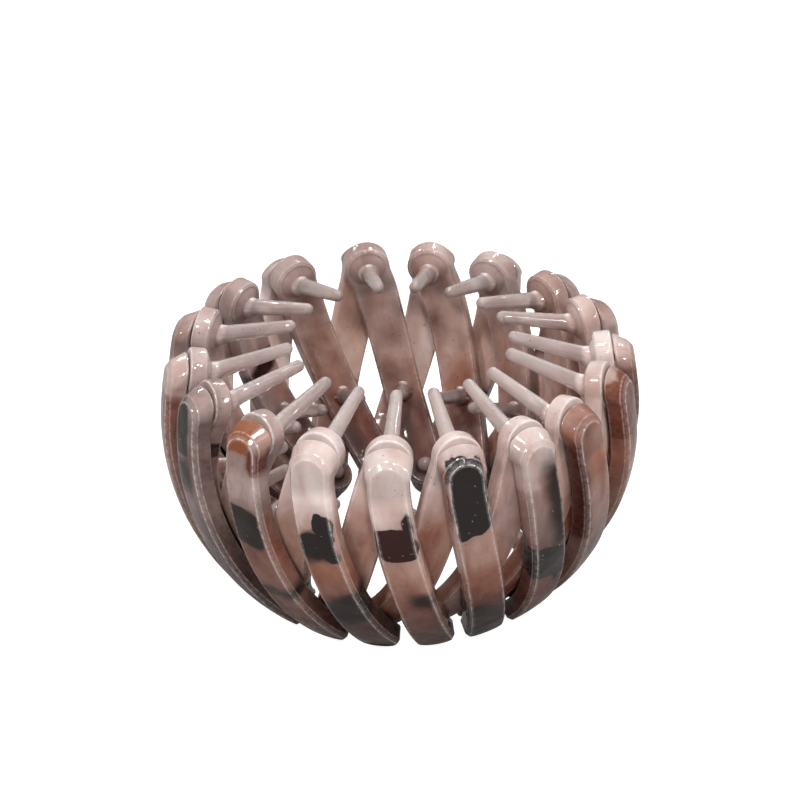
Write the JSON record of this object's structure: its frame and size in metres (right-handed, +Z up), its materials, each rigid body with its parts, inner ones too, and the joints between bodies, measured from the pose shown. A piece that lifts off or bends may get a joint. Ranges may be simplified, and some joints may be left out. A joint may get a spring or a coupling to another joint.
{
  "type": "bird nest hair clip",
  "caption": "Bowl-shaped bird nest hair clip: a ring of crossed, snap-pinned plastic strips with inward teeth that close round a hair bun.",
  "frame": {"origin": "centre of the bowl on the surface that it stands on, at the bottom of the lowest strip ends", "axes": "+Z up along the axis of the bowl, from the strip ends to the knobs; -Y toward the side seen in the picture; +X to the right there"},
  "size_m": [0.0898, 0.0899, 0.0508],
  "materials": {
    "outer_strip": "glossy translucent tortoiseshell, milky taupe with amber and dark brown patches",
    "inner_strip": "glossy translucent tortoiseshell, milky greyish taupe with brown patches"
  },
  "bodies": {
    "root": {"outer_strip_01": "outer_strip", "outer_strip_02": "outer_strip", "outer_strip_03": "outer_strip", "outer_strip_04": "outer_strip", "outer_strip_05": "outer_strip", "outer_strip_06": "outer_strip", "outer_strip_07": "outer_strip", "outer_strip_08": "outer_strip", "outer_strip_09": "outer_strip", "outer_strip_10": "outer_strip", "outer_strip_11": "outer_strip", "outer_strip_12": "outer_strip", "outer_strip_13": "outer_strip", "outer_strip_14": "outer_strip", "outer_strip_15": "outer_strip", "outer_strip_16": "outer_strip", "outer_strip_17": "outer_strip", "outer_strip_18": "outer_strip", "inner_strip_01": "inner_strip", "inner_strip_02": "inner_strip", "inner_strip_03": "inner_strip", "inner_strip_04": "inner_strip", "inner_strip_05": "inner_strip", "inner_strip_06": "inner_strip", "inner_strip_07": "inner_strip", "inner_strip_08": "inner_strip", "inner_strip_09": "inner_strip", "inner_strip_10": "inner_strip", "inner_strip_11": "inner_strip", "inner_strip_12": "inner_strip", "inner_strip_13": "inner_strip", "inner_strip_14": "inner_strip", "inner_strip_15": "inner_strip", "inner_strip_16": "inner_strip", "inner_strip_17": "inner_strip", "inner_strip_18": "inner_strip"}
  },
  "joints": []
}
